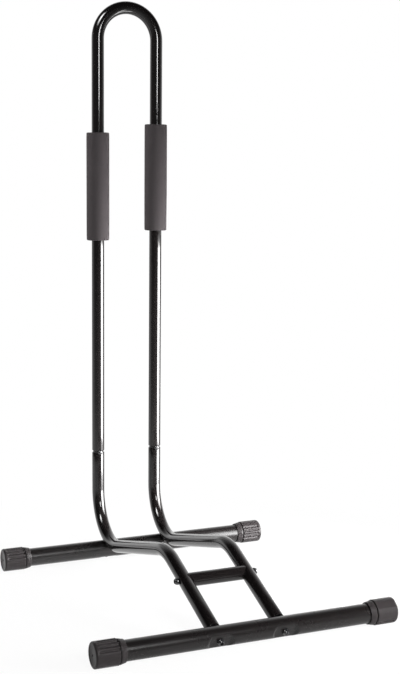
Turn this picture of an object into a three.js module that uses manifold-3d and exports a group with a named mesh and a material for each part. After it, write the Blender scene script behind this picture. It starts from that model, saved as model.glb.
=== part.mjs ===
// A floor rack that holds one bicycle wheel between two padded uprights.
// Millimetres, +Z up, +X along the cross tubes, the front cross tube towards -Y.
// The origin lies on the floor, under the middle of the rack's overall width and depth.
import * as THREE from "three";
import { mergeVertices } from "three/addons/utils/BufferGeometryUtils.js";
import Module from "manifold-3d";

const wasm = await Module();
wasm.setup();

// ---- Driving dimensions ----------------------------------------------------------------------

// Bent round tube of the hoop and of the two lower tubes.
const TUBE_D = 20;
const TUBE_WALL = 1.2;
const BEND_R = 76;

// Overall layout.
const TOTAL_HEIGHT = 900;
const UPRIGHT_SPACING = 100; // between the uprights' axes
const FRONT_SPACING = 97; // between the lower tubes' axes at the front cross tube
const BASE_DEPTH = 430; // between the cross tubes' axes
const UPRIGHT_SETBACK = 42; // uprights' axis behind the rear cross tube's axis
const HUMP_BACK = 178; // hump's corner behind the front cross tube's axis
const HUMP_HEIGHT = 87; // hump's corner above the floor
const SEAM_HEIGHT = 170; // top edge of the lower tubes

// Cross tubes and what is pressed into them.
const CROSS_D = 28;
const CROSS_WALL = 1.5;
const CROSS_AXIS_HEIGHT = 17.5;
const OVERALL_WIDTH = 450;
const POCKET_R = 17;
const POCKET_DEPTH = 4;
const SADDLE_DEPTH = 2.5;

// Brace between the two slopes.
const BRACE_D = 20;
const BRACE_WALL = 1.5;
const BRACE_UP_SLOPE = 119; // from the front cross tube's axis, along the slope
const COPE_GAP = 0.5;

// Drawn-in ends of the hoop.
const SPIGOT_LENGTH = 50;
const NECK_LENGTH = 4; // bare neck between the seam and the full diameter
const SHOULDER_LENGTH = 1.6;

// Foam sleeves.
const FOAM_D = 37;
const FOAM_LENGTH = 172;
const FOAM_LEFT_BOTTOM = 520;
const FOAM_RIGHT_BOTTOM = 535;

// End caps.
const CAP_D = 36;
const CAP_LENGTH = 43;
const CAP_END_WALL = 4;
const CAP_CHAMFER = 2.6;
const COLLAR_LENGTH = 8.5;
const COLLAR_MOUTH_D = 31;
const COLLAR_D = 34.4;
const GROOVE_WIDTH = 1.6;
const GROOVE_D = 31.4;

// Large socket screws: brace, front and rear joints.
const BOLT_D = 6;
const BOLT_HEAD_D = 10;
const BOLT_HEAD_H = 5.5;
const BOLT_SOCKET_AF = 5;
const BOLT_SOCKET_DEPTH = 3;
const PLUG_LENGTH = 20;
const BOLT_PAST_PLUG_FACE = 15; // thread engaged in a plug
const BRACE_PLUG_RECESS = 10.5; // plug's face behind the brace's longest point
const BARREL_NUT_LENGTH = 15;
const BARREL_NUT_SLACK = 0.6; // room for the bend of the tube around the straight nut

// Small screws at the hoop's seams.
const SCREW_D = 5;
const SCREW_HEAD_D = 8;
const SCREW_HEAD_H = 2.6;
const SCREW_SOCKET_AF = 3;
const SCREW_SOCKET_DEPTH = 1.4;
const SCREW_ABOVE_SEAM = 1;
const SCREW_NUT_AF = 8;
const SCREW_NUT_THICKNESS = 4;

// Clearances.
const FIT_GAP = 0.3; // between pieces that touch
const HOLE_GAP = 0.3; // around a screw's shank

// Facets of the round pieces.
const TUBE_SIDES = 20;
const CROSS_SIDES = 24;
const SCREW_SIDES = 12;
const STEPS_PER_RIGHT_ANGLE = 7;

// ---- Places worked out from them --------------------------------------------------------------

const TUBE_R = TUBE_D / 2;
const TUBE_BORE_R = TUBE_R - TUBE_WALL;
const CROSS_R = CROSS_D / 2;
const CROSS_BORE_R = CROSS_R - CROSS_WALL;
const CAP_R = CAP_D / 2;
const FOAM_R = FOAM_D / 2;
const BOLT_R = BOLT_D / 2;
const BOLT_HOLE_R = BOLT_R + HOLE_GAP;
const SCREW_R = SCREW_D / 2;
const SCREW_HOLE_R = SCREW_R + HOLE_GAP;
const SPIGOT_R = TUBE_BORE_R - FIT_GAP;
const SPIGOT_BORE_R = SPIGOT_R - TUBE_WALL;
const UPRIGHT_X = UPRIGHT_SPACING / 2;
const SIDES = { left: -1, right: 1 };

const OVERALL_DEPTH = CAP_R + BASE_DEPTH + UPRIGHT_SETBACK + FOAM_R;
const FRONT_Y = CAP_R - OVERALL_DEPTH / 2;
const REAR_Y = FRONT_Y + BASE_DEPTH;
const UPRIGHT_Y = REAR_Y + UPRIGHT_SETBACK;

// Points and directions of the side view, as (y, z).
const frontAxis = new THREE.Vector2(FRONT_Y, CROSS_AXIS_HEIGHT);
const rearAxis = new THREE.Vector2(REAR_Y, CROSS_AXIS_HEIGHT);
const humpCorner = new THREE.Vector2(FRONT_Y + HUMP_BACK, HUMP_HEIGHT);
const slopeUp = humpCorner.clone().sub(frontAxis).normalize();
const slopeEnd = frontAxis.clone().addScaledVector(slopeUp, CROSS_R + FIT_GAP);
const bracePoint = frontAxis.clone().addScaledVector(slopeUp, BRACE_UP_SLOPE);

// The lower bend rests in the rear tube's saddle, which settles the height of its centre.
const REAR_REACH = CROSS_R + TUBE_R - SADDLE_DEPTH;
const bendCentreY = UPRIGHT_Y - BEND_R;
const bendCentre = new THREE.Vector2(
  bendCentreY,
  CROSS_AXIS_HEIGHT + Math.sqrt((BEND_R + REAR_REACH) ** 2 - (bendCentreY - REAR_Y) ** 2),
);
const saddleUp = bendCentre.clone().sub(rearAxis).normalize();

// The rising run leaves that bend as its tangent through the hump's corner.
const toCentre = bendCentre.clone().sub(humpCorner);
const runAngle = toCentre.angle() - Math.asin(BEND_R / toCentre.length());
const heelCorner = new THREE.Vector2(
  UPRIGHT_Y,
  humpCorner.y + (UPRIGHT_Y - humpCorner.x) * Math.tan(runAngle),
);

// ---- Materials --------------------------------------------------------------------------------

function finish(color, roughness, metalness = 0) {
  return () => new THREE.MeshStandardMaterial({ color, roughness, metalness });
}
const glossBlack = finish(0x141415, 0.22);
const darkFoam = finish(0x4a4a4b, 0.95);
const darkPlastic = finish(0x39393a, 0.6);
const blackSteel = finish(0x1c1c1e, 0.35, 0.6);
const zincSteel = finish(0xb4b6ba, 0.3, 0.9);

// ---- Solids -----------------------------------------------------------------------------------

// A closed geometry as a solid that can be joined and cut.
function solidOf(geometry) {
  const bare = geometry.index ? geometry.toNonIndexed() : geometry.clone();
  bare.deleteAttribute("normal");
  bare.deleteAttribute("uv");
  const merged = mergeVertices(bare, 1e-3);
  return new wasm.Manifold(
    new wasm.Mesh({
      numProp: 3,
      vertProperties: merged.attributes.position.array,
      triVerts: new Uint32Array(merged.index.array),
    }),
  );
}

function meshOf(name, solid, material) {
  const { vertProperties, triVerts } = solid.getMesh();
  const geometry = new THREE.BufferGeometry();
  geometry.setAttribute("position", new THREE.BufferAttribute(vertProperties, 3));
  geometry.setIndex(new THREE.BufferAttribute(triVerts, 1));
  geometry.computeVertexNormals();
  const mesh = new THREE.Mesh(geometry, material());
  mesh.name = name;
  return mesh;
}

// A point of the side view, at a width x.
function at(x, sidePoint) {
  return new THREE.Vector3(x, sidePoint.x, sidePoint.y);
}

// A point of the side view, on the axis of one lower tube: the two draw together to the front.
function onTube(side, sidePoint) {
  const share = (UPRIGHT_Y - sidePoint.x) / (UPRIGHT_Y - FRONT_Y);
  const spacing = UPRIGHT_SPACING + (FRONT_SPACING - UPRIGHT_SPACING) * share;
  return at((SIDES[side] * spacing) / 2, sidePoint);
}

// The direction in which one lower tube climbs from the front cross tube.
function slopeOf(side) {
  return onTube(side, humpCorner).sub(onTube(side, frontAxis)).normalize();
}

// The direction square to the rear cross tube that its bolts follow.
function saddleOf() {
  return at(0, saddleUp);
}

// Turns a geometry that is built along +Y to a direction, and moves its origin to a point.
function placed(geometry, origin, direction) {
  const turn = new THREE.Quaternion().setFromUnitVectors(new THREE.Vector3(0, 1, 0), direction);
  const one = new THREE.Vector3(1, 1, 1);
  return geometry.applyMatrix4(new THREE.Matrix4().compose(origin, turn, one));
}

// A rod that starts at a point and runs along a direction.
function rod(radius, length, origin, direction, sides = SCREW_SIDES) {
  const geometry = new THREE.CylinderGeometry(radius, radius, length, sides);
  geometry.translate(0, length / 2, 0);
  return solidOf(placed(geometry, origin, direction));
}

// A turned piece, from a closed profile of (radius, height) points.
function turned(profile, sides, origin, direction) {
  const points = profile.map(([radius, height]) => new THREE.Vector2(radius, height));
  const solid = solidOf(placed(new THREE.LatheGeometry(points, sides), origin, direction));
  return solid;
}

function polygonPoints(radius, sides) {
  const step = (2 * Math.PI) / sides;
  return Array.from({ length: sides }, (_, i) => {
    return new THREE.Vector2(radius * Math.cos(i * step), radius * Math.sin(i * step));
  });
}

// ---- Bent tube --------------------------------------------------------------------------------

// A path held as stations, each a point with the path's true direction there.
class StationPath extends THREE.Curve {
  constructor(stations) {
    super();
    this.stations = stations;
  }

  getUtoTmapping(u) {
    return u;
  }

  getPoint(t, target = new THREE.Vector3()) {
    return target.copy(this.stations[this.stationAt(t)].point);
  }

  getTangent(t, target = new THREE.Vector3()) {
    return target.copy(this.stations[this.stationAt(t)].tangent);
  }

  stationAt(t) {
    return Math.round(t * (this.stations.length - 1));
  }
}

// Stations of a path through corners, each corner rounded to one bend radius.
function bentStations(corners, bendRadius) {
  const stations = [];
  const last = corners.length - 1;
  const direction = (from, to) => to.clone().sub(from).normalize();
  stations.push({ point: corners[0].clone(), tangent: direction(corners[0], corners[1]) });
  for (let i = 1; i < last; i++) {
    const before = direction(corners[i - 1], corners[i]);
    const after = direction(corners[i], corners[i + 1]);
    const turn = before.angleTo(after);
    const axis = before.clone().cross(after).normalize();
    const inward = axis.clone().cross(before);
    const start = corners[i].clone().addScaledVector(before, -bendRadius * Math.tan(turn / 2));
    const centre = start.clone().addScaledVector(inward, bendRadius);
    const steps = Math.max(3, Math.round((turn * STEPS_PER_RIGHT_ANGLE) / (Math.PI / 2)));
    for (let k = 0; k <= steps; k++) {
      const angle = (turn * k) / steps;
      const spoke = start.clone().sub(centre).applyAxisAngle(axis, angle);
      const tangent = before.clone().applyAxisAngle(axis, angle);
      stations.push({ point: centre.clone().add(spoke), tangent });
    }
  }
  const tangent = direction(corners[last - 1], corners[last]);
  stations.push({ point: corners[last].clone(), tangent });
  return stations;
}

// A tube, or a bar where the bore is 0, swept along stations.
function sweptTube(stations, outerRadius, boreRadius, sides = TUBE_SIDES) {
  const section = new THREE.Shape(polygonPoints(outerRadius, sides));
  if (boreRadius > 0) section.holes.push(new THREE.Path(polygonPoints(boreRadius, sides)));
  const geometry = new THREE.ExtrudeGeometry(section, {
    steps: stations.length - 1,
    extrudePath: new StationPath(stations),
  });
  return solidOf(geometry);
}

function straightTube(from, to, outerRadius, boreRadius, sides = TUBE_SIDES) {
  const tangent = to.clone().sub(from).normalize();
  const stations = [
    { point: from, tangent },
    { point: to, tangent },
  ];
  return sweptTube(stations, outerRadius, boreRadius, sides);
}

// ---- Screws -----------------------------------------------------------------------------------

const hexCircumradius = (acrossFlats) => acrossFlats / Math.sqrt(3);

// A domed head's outline, from its seat up, in shares of its radius and height.
const DOME = [
  [1, 0],
  [1, 0.25],
  [0.84, 0.7],
  [0.6, 1],
];
const TIP_CHAMFER = 0.2; // of the shank's radius

// A screw with its head's seat at a point and its head towards a direction.
function socketScrew(head, shank, seat, outward) {
  const bottom = -shank.length;
  const profile = [
    [0, bottom],
    [shank.radius * (1 - TIP_CHAMFER), bottom],
    [shank.radius, bottom + shank.radius * TIP_CHAMFER],
    [shank.radius, 0],
    ...DOME.map(([across, up]) => [head.radius * across, head.height * up]),
    [0, head.height],
  ];
  const body = turned(profile, SCREW_SIDES, seat, outward);
  const floor = seat.clone().addScaledVector(outward, head.height - head.socketDepth);
  const socket = rod(hexCircumradius(head.socketAF), head.socketDepth + 1, floor, outward, 6);
  return body.subtract(socket);
}

const BOLT_HEAD = {
  radius: BOLT_HEAD_D / 2,
  height: BOLT_HEAD_H,
  socketAF: BOLT_SOCKET_AF,
  socketDepth: BOLT_SOCKET_DEPTH,
};
const SCREW_HEAD = {
  radius: SCREW_HEAD_D / 2,
  height: SCREW_HEAD_H,
  socketAF: SCREW_SOCKET_AF,
  socketDepth: SCREW_SOCKET_DEPTH,
};

// ---- Hoop -------------------------------------------------------------------------------------

const SHOULDER_TOP = SEAM_HEIGHT + NECK_LENGTH;
const ARCH_CENTRE_Z = TOTAL_HEIGHT - TUBE_R - UPRIGHT_X;
const SCREW_Z = SEAM_HEIGHT + SCREW_ABOVE_SEAM;
const FRONTWARD = new THREE.Vector3(0, -1, 0);
const UPWARD = new THREE.Vector3(0, 0, 1);

function uprightPoint(side, z) {
  return new THREE.Vector3(SIDES[side] * UPRIGHT_X, UPRIGHT_Y, z);
}

// The arch and both legs, down to just inside the turned ends.
function hoopArch() {
  const legFoot = SHOULDER_TOP + TUBE_D;
  const stations = [{ point: uprightPoint("left", legFoot), tangent: UPWARD.clone() }];
  const steps = 2 * STEPS_PER_RIGHT_ANGLE;
  for (let k = 0; k <= steps; k++) {
    const angle = Math.PI - (Math.PI * k) / steps;
    const across = UPRIGHT_X * Math.cos(angle);
    const up = UPRIGHT_X * Math.sin(angle);
    const tangent = new THREE.Vector3(Math.sin(angle), 0, -Math.cos(angle));
    stations.push({ point: new THREE.Vector3(across, UPRIGHT_Y, ARCH_CENTRE_Z + up), tangent });
  }
  stations.push({ point: uprightPoint("right", legFoot), tangent: UPWARD.clone().negate() });
  return sweptTube(stations, TUBE_R, TUBE_BORE_R);
}

// A leg's drawn-in end: full diameter, shoulder, neck and spigot, open at both ends.
function hoopEnd(side) {
  const bottom = SEAM_HEIGHT - SPIGOT_LENGTH;
  const neckTop = SHOULDER_TOP - SHOULDER_LENGTH;
  const top = SHOULDER_TOP + TUBE_D;
  const profile = [
    [SPIGOT_BORE_R, 0],
    [SPIGOT_R, 0],
    [SPIGOT_R, neckTop - bottom],
    [TUBE_R, SHOULDER_TOP - bottom],
    [TUBE_R, top - bottom],
    [TUBE_BORE_R, top - bottom],
    [TUBE_BORE_R, SHOULDER_TOP + TUBE_WALL - bottom],
    [SPIGOT_BORE_R, neckTop + TUBE_WALL - bottom],
    [SPIGOT_BORE_R, 0],
  ];
  return turned(profile, TUBE_SIDES, uprightPoint(side, bottom), UPWARD);
}

function hoopTube() {
  let solid = hoopArch();
  for (const side of Object.keys(SIDES)) {
    const hole = rod(SCREW_HOLE_R, TUBE_R + 1, uprightPoint(side, SCREW_Z), FRONTWARD);
    solid = solid.add(hoopEnd(side)).subtract(hole);
  }
  return solid;
}

function hoopScrew(side) {
  const seat = uprightPoint(side, SCREW_Z).addScaledVector(FRONTWARD, TUBE_R + FIT_GAP);
  const shank = { radius: SCREW_R, length: TUBE_R - hoopNutNear() + FIT_GAP + SCREW_NUT_THICKNESS };
  return socketScrew(SCREW_HEAD, shank, seat, FRONTWARD);
}

// Distance from the upright's axis to the outer face of the nut inside the spigot.
function hoopNutNear() {
  const reach = SPIGOT_BORE_R - FIT_GAP;
  return Math.sqrt(reach ** 2 - hexCircumradius(SCREW_NUT_AF) ** 2);
}

function hoopNut(side) {
  const back = uprightPoint(side, SCREW_Z);
  back.addScaledVector(FRONTWARD, hoopNutNear() - SCREW_NUT_THICKNESS);
  const block = rod(hexCircumradius(SCREW_NUT_AF), SCREW_NUT_THICKNESS, back, FRONTWARD, 6);
  const start = back.clone().addScaledVector(FRONTWARD, -1);
  return block.subtract(rod(SCREW_HOLE_R, SCREW_NUT_THICKNESS + 2, start, FRONTWARD));
}

function foamSleeve(side, bottom) {
  const from = uprightPoint(side, bottom);
  const to = uprightPoint(side, bottom + FOAM_LENGTH);
  return straightTube(from, to, FOAM_R, TUBE_R + FIT_GAP, CROSS_SIDES);
}

// ---- Lower tubes ------------------------------------------------------------------------------

function lowerStations(side) {
  const seam = new THREE.Vector2(UPRIGHT_Y, SEAM_HEIGHT);
  const corners = [seam, heelCorner, humpCorner, slopeEnd].map((point) => onTube(side, point));
  return bentStations(corners, BEND_R);
}

function lowerTube(side) {
  const outward = new THREE.Vector3(SIDES[side], 0, 0);
  const braceHoleStart = onTube(side, bracePoint).addScaledVector(outward, -TUBE_D);
  return sweptTube(lowerStations(side), TUBE_R, TUBE_BORE_R)
    .subtract(rod(BOLT_HOLE_R, 2 * TUBE_D, braceHoleStart, outward))
    .subtract(rod(SCREW_HOLE_R, TUBE_D, uprightPoint(side, SCREW_Z), FRONTWARD))
    .subtract(rod(BOLT_HOLE_R, TUBE_D, onTube(side, rearAxis), saddleOf()));
}

function frontPlug(side) {
  const face = onTube(side, slopeEnd);
  const up = slopeOf(side);
  const bore = rod(BOLT_HOLE_R, PLUG_LENGTH + 2, face.clone().addScaledVector(up, -1), up);
  return rod(TUBE_BORE_R - FIT_GAP, PLUG_LENGTH, face, up, TUBE_SIDES).subtract(bore);
}

// A straight barrel nut that lies in the lower bend, above the rear tube's saddle.
function rearNut(side) {
  const alongBend = at(0, new THREE.Vector2(saddleUp.y, -saddleUp.x));
  const radius = TUBE_BORE_R - FIT_GAP - BARREL_NUT_SLACK;
  const middle = onTube(side, rearAxis).addScaledVector(saddleOf(), REAR_REACH);
  const start = middle.addScaledVector(alongBend, -BARREL_NUT_LENGTH / 2);
  const thread = rod(BOLT_HOLE_R, 2 * TUBE_D, onTube(side, rearAxis), saddleOf());
  return rod(radius, BARREL_NUT_LENGTH, start, alongBend, TUBE_SIDES).subtract(thread);
}

// ---- Cross tubes ------------------------------------------------------------------------------

const CROSS_LENGTH = OVERALL_WIDTH - 2 * (CAP_END_WALL + FIT_GAP);
const POCKET_FLOOR = CROSS_R - POCKET_DEPTH; // from the tube's axis

function crossBar(axisPoint, length, radius) {
  return straightTube(at(-length / 2, axisPoint), at(length / 2, axisPoint), radius, 0, CROSS_SIDES);
}

// A round pocket pressed into the tube's wall: the room it takes outside, and its formed back.
function pressedPocket(centre, outward) {
  const floor = centre.clone().addScaledVector(outward, POCKET_FLOOR);
  const inside = centre.clone().addScaledVector(outward, POCKET_FLOOR - CROSS_WALL);
  return {
    space: rod(POCKET_R, CROSS_R, floor, outward, CROSS_SIDES),
    back: rod(POCKET_R + CROSS_WALL, CROSS_R, inside, outward, CROSS_SIDES),
  };
}

// The dished seat that a lower bend rests in.
function pressedSaddle(side) {
  const stations = lowerStations(side);
  return {
    space: sweptTube(stations, TUBE_R + FIT_GAP, 0),
    back: sweptTube(stations, TUBE_R + FIT_GAP + CROSS_WALL, 0),
  };
}

function crossTube(axisPoint, boltDirection, withSaddle) {
  let hollow = crossBar(axisPoint, CROSS_LENGTH + 2, CROSS_BORE_R);
  let solid = crossBar(axisPoint, CROSS_LENGTH, CROSS_R);
  const forms = [];
  const holes = [];
  for (const side of Object.keys(SIDES)) {
    const centre = onTube(side, axisPoint);
    const up = boltDirection(side);
    forms.push(pressedPocket(centre, up.clone().negate()));
    if (withSaddle) forms.push(pressedSaddle(side));
    holes.push(rod(BOLT_HOLE_R, 2 * CROSS_D, centre.clone().addScaledVector(up, -CROSS_D), up));
  }
  for (const form of forms) hollow = hollow.subtract(form.back);
  solid = solid.subtract(hollow);
  for (const form of forms) solid = solid.subtract(form.space);
  for (const hole of holes) solid = solid.subtract(hole);
  return solid;
}

// A joint's bolt: its head in the pocket under a cross tube, its thread above it.
function crossBolt(side, axisPoint, boltDirection, tipFromAxis) {
  const down = boltDirection(side).negate();
  const seatFromAxis = POCKET_FLOOR + FIT_GAP;
  const seat = onTube(side, axisPoint).addScaledVector(down, seatFromAxis);
  return socketScrew(BOLT_HEAD, { radius: BOLT_R, length: seatFromAxis + tipFromAxis }, seat, down);
}

// ---- Brace ------------------------------------------------------------------------------------

const BRACE_R = BRACE_D / 2;
const BRACE_BORE_R = BRACE_R - BRACE_WALL;
// The brace, with its ends coped to the round of the slopes.
function braceTube() {
  const ends = Object.keys(SIDES).map((side) => onTube(side, bracePoint));
  let solid = straightTube(ends[0], ends[1], BRACE_R, BRACE_BORE_R);
  for (const side of Object.keys(SIDES)) {
    const start = onTube(side, frontAxis);
    const cope = rod(TUBE_R + COPE_GAP, 2 * BRACE_UP_SLOPE, start, slopeOf(side), CROSS_SIDES);
    solid = solid.subtract(cope);
  }
  return largestPiece(solid);
}

// Coping leaves thin slivers outside the slopes, which aren't part of the brace.
function largestPiece(solid) {
  return solid.decompose().reduce((a, b) => (a.volume() > b.volume() ? a : b));
}

function bracePlug(side) {
  const outward = new THREE.Vector3(SIDES[side], 0, 0);
  const inset = BRACE_PLUG_RECESS + PLUG_LENGTH;
  const start = onTube(side, bracePoint).addScaledVector(outward, -inset);
  const bore = rod(BOLT_HOLE_R, PLUG_LENGTH + 2, start.clone().addScaledVector(outward, -1), outward);
  return rod(BRACE_BORE_R - FIT_GAP, PLUG_LENGTH, start, outward, TUBE_SIDES).subtract(bore);
}

function braceBolt(side) {
  const outward = new THREE.Vector3(SIDES[side], 0, 0);
  const seatFromAxis = TUBE_R + FIT_GAP;
  const length = seatFromAxis + BRACE_PLUG_RECESS + BOLT_PAST_PLUG_FACE;
  const seat = onTube(side, bracePoint).addScaledVector(outward, seatFromAxis);
  return socketScrew(BOLT_HEAD, { radius: BOLT_R, length }, seat, outward);
}

// ---- End caps ---------------------------------------------------------------------------------

// A cap from its mouth to its end face, with a flat sole on the floor.
function endCap(side, axisPoint) {
  const boreR = CROSS_R + FIT_GAP;
  const bodyStart = COLLAR_LENGTH + GROOVE_WIDTH;
  const profile = [
    [boreR, 0],
    [COLLAR_MOUTH_D / 2, 0],
    [COLLAR_D / 2, COLLAR_LENGTH],
    [GROOVE_D / 2, COLLAR_LENGTH],
    [GROOVE_D / 2, bodyStart],
    [CAP_R, bodyStart],
    [CAP_R, CAP_LENGTH - CAP_CHAMFER],
    [CAP_R - CAP_CHAMFER, CAP_LENGTH],
    [0, CAP_LENGTH],
    [0, CAP_LENGTH - CAP_END_WALL],
    [boreR, CAP_LENGTH - CAP_END_WALL],
    [boreR, 0],
  ];
  const mouth = at(SIDES[side] * (OVERALL_WIDTH / 2 - CAP_LENGTH), axisPoint);
  const outward = new THREE.Vector3(SIDES[side], 0, 0);
  const cap = turned(profile, CROSS_SIDES, mouth, outward);
  const below = new THREE.BoxGeometry(OVERALL_WIDTH * 2, CAP_D * 2, CAP_D);
  below.translate(0, axisPoint.x, -CAP_D / 2);
  return cap.subtract(solidOf(below));
}

// ---- The rack ---------------------------------------------------------------------------------

const rack = new THREE.Group();
rack.name = "floor_bike_rack";

function addPiece(name, solid, material) {
  rack.add(meshOf(name, solid, material));
}

addPiece("hoop_tube", hoopTube(), glossBlack);
addPiece("foam_sleeve_left", foamSleeve("left", FOAM_LEFT_BOTTOM), darkFoam);
addPiece("foam_sleeve_right", foamSleeve("right", FOAM_RIGHT_BOTTOM), darkFoam);
addPiece("front_tube", crossTube(frontAxis, slopeOf, false), glossBlack);
addPiece("rear_tube", crossTube(rearAxis, saddleOf, true), glossBlack);
addPiece("brace_tube", braceTube(), glossBlack);

const frontBoltTip = CROSS_R + FIT_GAP + BOLT_PAST_PLUG_FACE;
const rearBoltTip = REAR_REACH + BOLT_D;
for (const side of Object.keys(SIDES)) {
  addPiece(`lower_tube_${side}`, lowerTube(side), glossBlack);
  addPiece(`hoop_screw_${side}`, hoopScrew(side), blackSteel);
  addPiece(`hoop_nut_${side}`, hoopNut(side), zincSteel);
  addPiece(`brace_bolt_${side}`, braceBolt(side), blackSteel);
  addPiece(`brace_plug_${side}`, bracePlug(side), zincSteel);
  addPiece(`front_bolt_${side}`, crossBolt(side, frontAxis, slopeOf, frontBoltTip), blackSteel);
  addPiece(`front_plug_${side}`, frontPlug(side), zincSteel);
  addPiece(`rear_bolt_${side}`, crossBolt(side, rearAxis, saddleOf, rearBoltTip), blackSteel);
  addPiece(`rear_nut_${side}`, rearNut(side), zincSteel);
  addPiece(`cap_front_${side}`, endCap(side, frontAxis), darkPlastic);
  addPiece(`cap_rear_${side}`, endCap(side, rearAxis), darkPlastic);
}

export default rack;
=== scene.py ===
from math import atan2, asin, cos, degrees, hypot, pi, radians, sin, sqrt, tan

import bmesh
import bpy
from mathutils import Matrix, Vector, noise


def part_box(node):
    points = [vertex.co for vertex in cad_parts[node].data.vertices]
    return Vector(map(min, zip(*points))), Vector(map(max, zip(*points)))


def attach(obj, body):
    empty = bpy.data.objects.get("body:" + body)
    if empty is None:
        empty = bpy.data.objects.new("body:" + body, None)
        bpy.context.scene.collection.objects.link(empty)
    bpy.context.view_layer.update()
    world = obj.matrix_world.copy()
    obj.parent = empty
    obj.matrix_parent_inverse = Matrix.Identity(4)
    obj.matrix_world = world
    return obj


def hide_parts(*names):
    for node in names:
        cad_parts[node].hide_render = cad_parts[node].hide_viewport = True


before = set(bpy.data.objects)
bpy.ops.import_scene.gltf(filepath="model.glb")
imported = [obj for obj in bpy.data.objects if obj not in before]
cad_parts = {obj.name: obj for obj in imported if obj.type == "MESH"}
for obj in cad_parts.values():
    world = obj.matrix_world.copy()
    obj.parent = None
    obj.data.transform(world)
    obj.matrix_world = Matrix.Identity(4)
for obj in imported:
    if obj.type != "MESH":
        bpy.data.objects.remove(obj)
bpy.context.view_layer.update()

bl_info = {
    "name": "Floor Bike Rack",
    "version": (1, 0, 0),
    "blender": (4, 5, 0),
    "location": "3D View > Sidebar > Bike Rack",
    "description": "Dresses the solids of a floor rack for one bicycle wheel",
    "category": "Object",
}

BODY = "root"
SIDES = {"left": -1.0, "right": 1.0}
MM = 0.001

GAP = 0.3 * MM  # left between pieces that touch
HUMP_BACK = 178 * MM  # the hump's corner, behind the front cross tube's axis
HUMP_HEIGHT = 87 * MM
BRACE_UP_SLOPE = 119 * MM  # from the front cross tube's axis
FRONT_INSET = 1.5 * MM  # how much nearer the middle each lower tube ends than it starts
PLUG_LENGTH = 20 * MM
BRACE_WALL = 1.5 * MM
COPE_GAP = 0.5 * MM
POCKET_REACH = 29 * MM
SADDLE_REACH = 26 * MM
HEAD_SEAT = 3.7 * MM  # how deep a large head sits in its pocket


def node_centre(name):
    low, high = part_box(name)
    return (low + high) / 2


def node_size(name):
    low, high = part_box(name)
    return high - low


# ---- Sizes and colours a user may change ---------------------------------------------------------

def length(name, description, default):
    return bpy.props.FloatProperty(
        name=name, description=description, default=default, unit="LENGTH", subtype="DISTANCE", precision=5
    )


def colour(name, description, default):
    return bpy.props.FloatVectorProperty(
        name=name, description=description, default=default, size=3, min=0, max=1, subtype="COLOR"
    )


class RackTubeSizes(bpy.types.PropertyGroup):
    tube: length("Bent tube", "Outer diameter of the hoop and the lower tubes", 20 * MM)
    wall: length("Wall", "Wall thickness of the bent tubes", 1.2 * MM)
    cross: length("Cross tube", "Outer diameter of the two cross tubes", 28 * MM)
    cross_wall: length("Cross tube wall", "Wall thickness of the cross tubes", 1.5 * MM)
    bend: length("Bend", "Radius of the lower tubes' bends, at the axis", 76 * MM)
    neck: length("Neck", "Radius of the hoop's drawn-in ends", 8.5 * MM)
    saddle: length("Saddle", "How deep the lower bends sit in the rear cross tube", 2.5 * MM)
    pocket: length("Pocket", "Depth of the pockets that hold the large screws' heads", 4 * MM)


class RackFinishes(bpy.types.PropertyGroup):
    enamel: colour("Enamel", "The tubes' gloss black enamel", (0.0062, 0.0052, 0.0052))
    foam: colour("Foam", "The sleeves' closed-cell foam", (0.0385, 0.033, 0.0345))
    plastic: colour("Plastic", "The end caps' moulded plastic", (0.019, 0.0165, 0.017))
    steel: colour("Black steel", "The screws' black finish", (0.012, 0.012, 0.013))
    zinc: colour("Zinc", "The hidden plugs' and nuts' bright zinc plate", (0.62, 0.63, 0.65))


class RackStageSettings(bpy.types.PropertyGroup):
    floor: colour("Floor", "The pale studio floor", (0.8, 0.8, 0.8))
    floor_white: bpy.props.FloatProperty(
        name="Floor white", description="How far the seen floor is pure white", default=0.92, subtype="FACTOR"
    )
    lens: bpy.props.FloatProperty(
        name="Lens", description="The camera's focal length", default=114.513, unit="CAMERA"
    )


def sizes():
    return bpy.context.scene.rack_tube_sizes


def finishes():
    return bpy.context.scene.rack_finishes


def stage_settings():
    return bpy.context.scene.rack_stage


# ---- Places on the rack, worked out from the solids' boxes ---------------------------------------

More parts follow.
